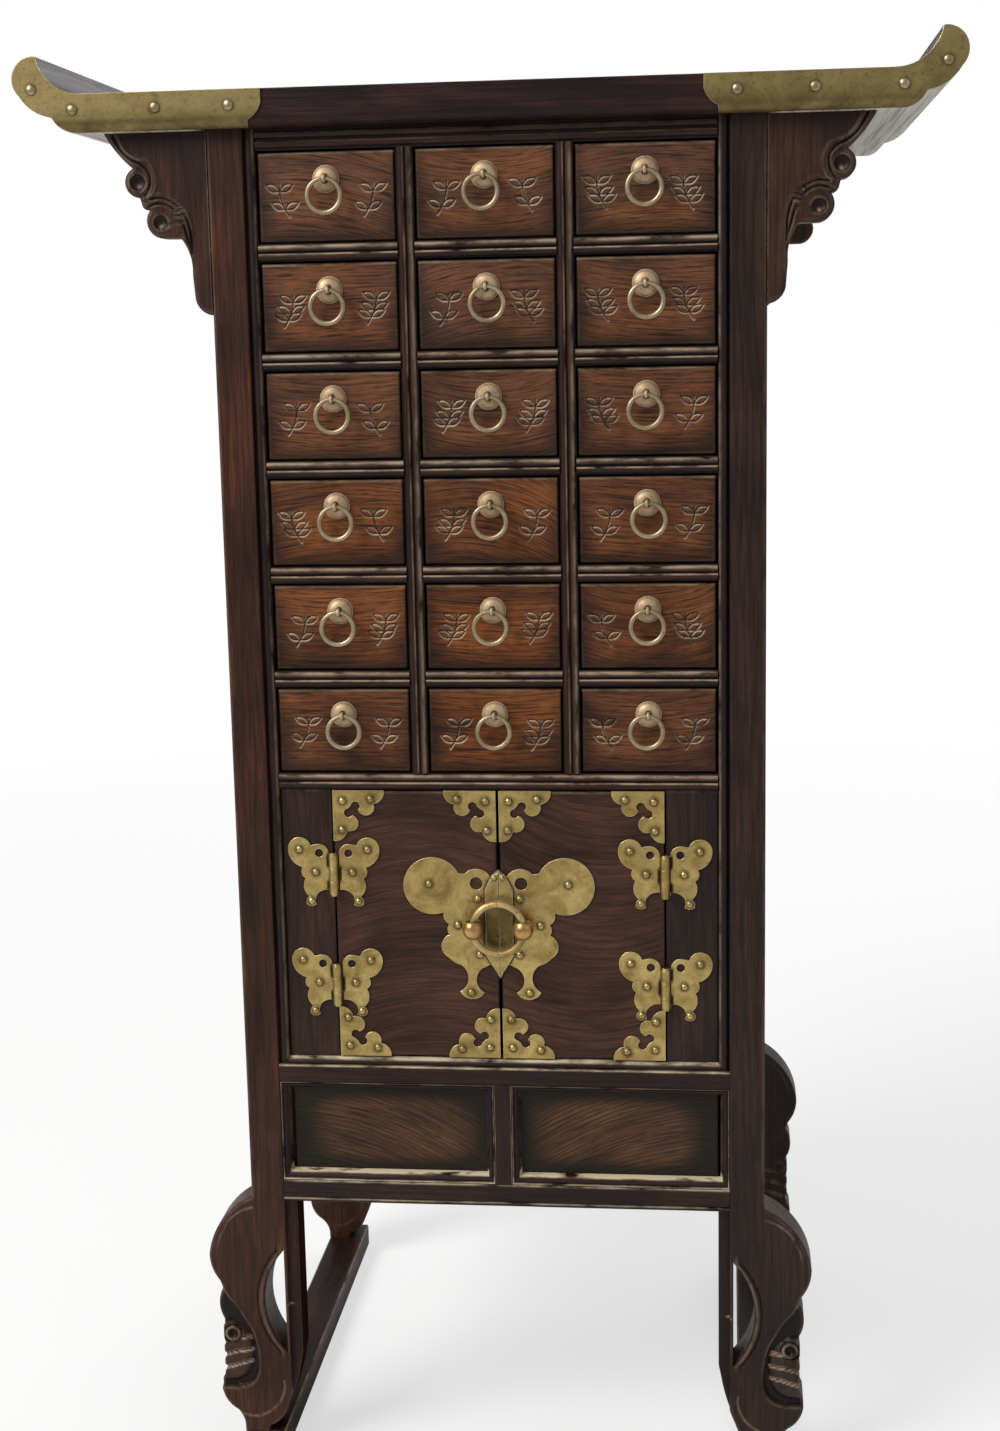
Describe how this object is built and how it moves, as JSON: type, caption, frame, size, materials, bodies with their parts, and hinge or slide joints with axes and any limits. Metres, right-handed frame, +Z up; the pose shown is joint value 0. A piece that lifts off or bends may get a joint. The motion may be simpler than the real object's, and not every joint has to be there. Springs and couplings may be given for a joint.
{
  "type": "apothecary cabinet",
  "caption": "Tall narrow wooden medicine cabinet: a grid of ring-pull drawers over two doors, a top with rolled ends, carved legs on floor runners and aged brass fittings.",
  "frame": {"origin": "on the floor under the middle of the cabinet", "axes": "+X to the viewer's right across the front, +Y from front to back, +Z up"},
  "size_m": [0.614, 0.391, 0.9917],
  "materials": {
    "frame_wood": "dark satin lacquer",
    "drawer_wood": "red-brown satin lacquer, elm grain",
    "door_wood": "dark red-brown satin lacquer",
    "panel_wood": "brown satin lacquer, diagonal grain",
    "inner_wood": "bare wood",
    "brass": "aged",
    "ring_brass": "worn"
  },
  "bodies": {
    "cabinet": {"top_panel": "frame_wood", "scroll_ends": "frame_wood", "top_corner_brasses": "brass", "front_posts": "frame_wood", "rear_posts": "frame_wood", "foot_runners": "frame_wood", "bracket_wings": "frame_wood", "side_panels": "frame_wood", "back_panel": "inner_wood", "side_back_rails": "frame_wood", "dust_boards": "inner_wood", "cupboard_floor": "inner_wood", "front_rails": "frame_wood", "drawer_dividers": "frame_wood", "door_jambs": "frame_wood", "skirt_panels": "panel_wood", "jamb_hinge_leaves": "brass", "hinge_pins": "brass"},
    "drawer_r1_c1": {"drawer_r1_c1": "drawer_wood"},
    "drawer_r1_c2": {"drawer_r1_c2": "drawer_wood"},
    "drawer_r1_c3": {"drawer_r1_c3": "drawer_wood"},
    "drawer_r2_c1": {"drawer_r2_c1": "drawer_wood"},
    "drawer_r2_c2": {"drawer_r2_c2": "drawer_wood"},
    "drawer_r2_c3": {"drawer_r2_c3": "drawer_wood"},
    "drawer_r3_c1": {"drawer_r3_c1": "drawer_wood"},
    "drawer_r3_c2": {"drawer_r3_c2": "drawer_wood"},
    "drawer_r3_c3": {"drawer_r3_c3": "drawer_wood"},
    "drawer_r4_c1": {"drawer_r4_c1": "drawer_wood"},
    "drawer_r4_c2": {"drawer_r4_c2": "drawer_wood"},
    "drawer_r4_c3": {"drawer_r4_c3": "drawer_wood"},
    "drawer_r5_c1": {"drawer_r5_c1": "drawer_wood"},
    "drawer_r5_c2": {"drawer_r5_c2": "drawer_wood"},
    "drawer_r5_c3": {"drawer_r5_c3": "drawer_wood"},
    "drawer_r6_c1": {"drawer_r6_c1": "drawer_wood"},
    "drawer_r6_c2": {"drawer_r6_c2": "drawer_wood"},
    "drawer_r6_c3": {"drawer_r6_c3": "drawer_wood"},
    "ring_r1_c1": {"ring_r1_c1": "ring_brass"},
    "ring_r1_c2": {"ring_r1_c2": "ring_brass"},
    "ring_r1_c3": {"ring_r1_c3": "ring_brass"},
    "ring_r2_c1": {"ring_r2_c1": "ring_brass"},
    "ring_r2_c2": {"ring_r2_c2": "ring_brass"},
    "ring_r2_c3": {"ring_r2_c3": "ring_brass"},
    "ring_r3_c1": {"ring_r3_c1": "ring_brass"},
    "ring_r3_c2": {"ring_r3_c2": "ring_brass"},
    "ring_r3_c3": {"ring_r3_c3": "ring_brass"},
    "ring_r4_c1": {"ring_r4_c1": "ring_brass"},
    "ring_r4_c2": {"ring_r4_c2": "ring_brass"},
    "ring_r4_c3": {"ring_r4_c3": "ring_brass"},
    "ring_r5_c1": {"ring_r5_c1": "ring_brass"},
    "ring_r5_c2": {"ring_r5_c2": "ring_brass"},
    "ring_r5_c3": {"ring_r5_c3": "ring_brass"},
    "ring_r6_c1": {"ring_r6_c1": "ring_brass"},
    "ring_r6_c2": {"ring_r6_c2": "ring_brass"},
    "ring_r6_c3": {"ring_r6_c3": "ring_brass"},
    "door_left": {"door_left": "door_wood", "door_left_brasses": "brass"},
    "half_ring_left": {"half_ring_left": "ring_brass"},
    "door_right": {"door_right": "door_wood", "door_right_brasses": "brass"},
    "half_ring_right": {"half_ring_right": "ring_brass"}
  },
  "joints": [
    {"name": "door_left_swing", "type": "hinge", "parent": "cabinet", "child": "door_left", "pos_m": [-0.115, -0.1784, 0.404], "axis": [0, 0, -1], "range_deg": [0, 150]},
    {"name": "half_ring_left_swing", "type": "hinge", "parent": "door_left", "child": "half_ring_left", "pos_m": [-0.0175, -0.1848, 0.404], "axis": [0, 0, -1], "range_deg": [0, 150]},
    {"name": "door_right_swing", "type": "hinge", "parent": "cabinet", "child": "door_right", "pos_m": [0.115, -0.1784, 0.404], "axis": [0, 0, 1], "range_deg": [0, 150]},
    {"name": "half_ring_right_swing", "type": "hinge", "parent": "door_right", "child": "half_ring_right", "pos_m": [0.0175, -0.1848, 0.404], "axis": [0, 0, 1], "range_deg": [0, 150]},
    {"name": "drawer_r1_c1_slide", "type": "slide", "parent": "cabinet", "child": "drawer_r1_c1", "axis": [0, -1, 0], "range_m": [0, 0.2]},
    {"name": "drawer_r1_c2_slide", "type": "slide", "parent": "cabinet", "child": "drawer_r1_c2", "axis": [0, -1, 0], "range_m": [0, 0.2]},
    {"name": "drawer_r1_c3_slide", "type": "slide", "parent": "cabinet", "child": "drawer_r1_c3", "axis": [0, -1, 0], "range_m": [0, 0.2]},
    {"name": "drawer_r2_c1_slide", "type": "slide", "parent": "cabinet", "child": "drawer_r2_c1", "axis": [0, -1, 0], "range_m": [0, 0.2]},
    {"name": "drawer_r2_c2_slide", "type": "slide", "parent": "cabinet", "child": "drawer_r2_c2", "axis": [0, -1, 0], "range_m": [0, 0.2]},
    {"name": "drawer_r2_c3_slide", "type": "slide", "parent": "cabinet", "child": "drawer_r2_c3", "axis": [0, -1, 0], "range_m": [0, 0.2]},
    {"name": "drawer_r3_c1_slide", "type": "slide", "parent": "cabinet", "child": "drawer_r3_c1", "axis": [0, -1, 0], "range_m": [0, 0.2]},
    {"name": "drawer_r3_c2_slide", "type": "slide", "parent": "cabinet", "child": "drawer_r3_c2", "axis": [0, -1, 0], "range_m": [0, 0.2]},
    {"name": "drawer_r3_c3_slide", "type": "slide", "parent": "cabinet", "child": "drawer_r3_c3", "axis": [0, -1, 0], "range_m": [0, 0.2]},
    {"name": "drawer_r4_c1_slide", "type": "slide", "parent": "cabinet", "child": "drawer_r4_c1", "axis": [0, -1, 0], "range_m": [0, 0.2]},
    {"name": "drawer_r4_c2_slide", "type": "slide", "parent": "cabinet", "child": "drawer_r4_c2", "axis": [0, -1, 0], "range_m": [0, 0.2]},
    {"name": "drawer_r4_c3_slide", "type": "slide", "parent": "cabinet", "child": "drawer_r4_c3", "axis": [0, -1, 0], "range_m": [0, 0.2]},
    {"name": "drawer_r5_c1_slide", "type": "slide", "parent": "cabinet", "child": "drawer_r5_c1", "axis": [0, -1, 0], "range_m": [0, 0.2]},
    {"name": "drawer_r5_c2_slide", "type": "slide", "parent": "cabinet", "child": "drawer_r5_c2", "axis": [0, -1, 0], "range_m": [0, 0.2]},
    {"name": "drawer_r5_c3_slide", "type": "slide", "parent": "cabinet", "child": "drawer_r5_c3", "axis": [0, -1, 0], "range_m": [0, 0.2]},
    {"name": "drawer_r6_c1_slide", "type": "slide", "parent": "cabinet", "child": "drawer_r6_c1", "axis": [0, -1, 0], "range_m": [0, 0.2]},
    {"name": "drawer_r6_c2_slide", "type": "slide", "parent": "cabinet", "child": "drawer_r6_c2", "axis": [0, -1, 0], "range_m": [0, 0.2]},
    {"name": "drawer_r6_c3_slide", "type": "slide", "parent": "cabinet", "child": "drawer_r6_c3", "axis": [0, -1, 0], "range_m": [0, 0.2]},
    {"name": "ring_r1_c1_swing", "type": "hinge", "parent": "drawer_r1_c1", "child": "ring_r1_c1", "pos_m": [-0.1045, -0.184, 0.91045], "axis": [-1, 0, 0], "range_deg": [-15, 160]},
    {"name": "ring_r1_c2_swing", "type": "hinge", "parent": "drawer_r1_c2", "child": "ring_r1_c2", "pos_m": [0, -0.184, 0.91045], "axis": [-1, 0, 0], "range_deg": [-15, 160]},
    {"name": "ring_r1_c3_swing", "type": "hinge", "parent": "drawer_r1_c3", "child": "ring_r1_c3", "pos_m": [0.1045, -0.184, 0.91045], "axis": [-1, 0, 0], "range_deg": [-15, 160]},
    {"name": "ring_r2_c1_swing", "type": "hinge", "parent": "drawer_r2_c1", "child": "ring_r2_c1", "pos_m": [-0.1045, -0.184, 0.83905], "axis": [-1, 0, 0], "range_deg": [-15, 160]},
    {"name": "ring_r2_c2_swing", "type": "hinge", "parent": "drawer_r2_c2", "child": "ring_r2_c2", "pos_m": [0, -0.184, 0.83905], "axis": [-1, 0, 0], "range_deg": [-15, 160]},
    {"name": "ring_r2_c3_swing", "type": "hinge", "parent": "drawer_r2_c3", "child": "ring_r2_c3", "pos_m": [0.1045, -0.184, 0.83905], "axis": [-1, 0, 0], "range_deg": [-15, 160]},
    {"name": "ring_r3_c1_swing", "type": "hinge", "parent": "drawer_r3_c1", "child": "ring_r3_c1", "pos_m": [-0.1045, -0.184, 0.76765], "axis": [-1, 0, 0], "range_deg": [-15, 160]},
    {"name": "ring_r3_c2_swing", "type": "hinge", "parent": "drawer_r3_c2", "child": "ring_r3_c2", "pos_m": [0, -0.184, 0.76765], "axis": [-1, 0, 0], "range_deg": [-15, 160]},
    {"name": "ring_r3_c3_swing", "type": "hinge", "parent": "drawer_r3_c3", "child": "ring_r3_c3", "pos_m": [0.1045, -0.184, 0.76765], "axis": [-1, 0, 0], "range_deg": [-15, 160]},
    {"name": "ring_r4_c1_swing", "type": "hinge", "parent": "drawer_r4_c1", "child": "ring_r4_c1", "pos_m": [-0.1045, -0.184, 0.69625], "axis": [-1, 0, 0], "range_deg": [-15, 160]},
    {"name": "ring_r4_c2_swing", "type": "hinge", "parent": "drawer_r4_c2", "child": "ring_r4_c2", "pos_m": [0, -0.184, 0.69625], "axis": [-1, 0, 0], "range_deg": [-15, 160]},
    {"name": "ring_r4_c3_swing", "type": "hinge", "parent": "drawer_r4_c3", "child": "ring_r4_c3", "pos_m": [0.1045, -0.184, 0.69625], "axis": [-1, 0, 0], "range_deg": [-15, 160]},
    {"name": "ring_r5_c1_swing", "type": "hinge", "parent": "drawer_r5_c1", "child": "ring_r5_c1", "pos_m": [-0.1045, -0.184, 0.62485], "axis": [-1, 0, 0], "range_deg": [-15, 160]},
    {"name": "ring_r5_c2_swing", "type": "hinge", "parent": "drawer_r5_c2", "child": "ring_r5_c2", "pos_m": [0, -0.184, 0.62485], "axis": [-1, 0, 0], "range_deg": [-15, 160]},
    {"name": "ring_r5_c3_swing", "type": "hinge", "parent": "drawer_r5_c3", "child": "ring_r5_c3", "pos_m": [0.1045, -0.184, 0.62485], "axis": [-1, 0, 0], "range_deg": [-15, 160]},
    {"name": "ring_r6_c1_swing", "type": "hinge", "parent": "drawer_r6_c1", "child": "ring_r6_c1", "pos_m": [-0.1045, -0.184, 0.55345], "axis": [-1, 0, 0], "range_deg": [-15, 160]},
    {"name": "ring_r6_c2_swing", "type": "hinge", "parent": "drawer_r6_c2", "child": "ring_r6_c2", "pos_m": [0, -0.184, 0.55345], "axis": [-1, 0, 0], "range_deg": [-15, 160]},
    {"name": "ring_r6_c3_swing", "type": "hinge", "parent": "drawer_r6_c3", "child": "ring_r6_c3", "pos_m": [0.1045, -0.184, 0.55345], "axis": [-1, 0, 0], "range_deg": [-15, 160]}
  ]
}
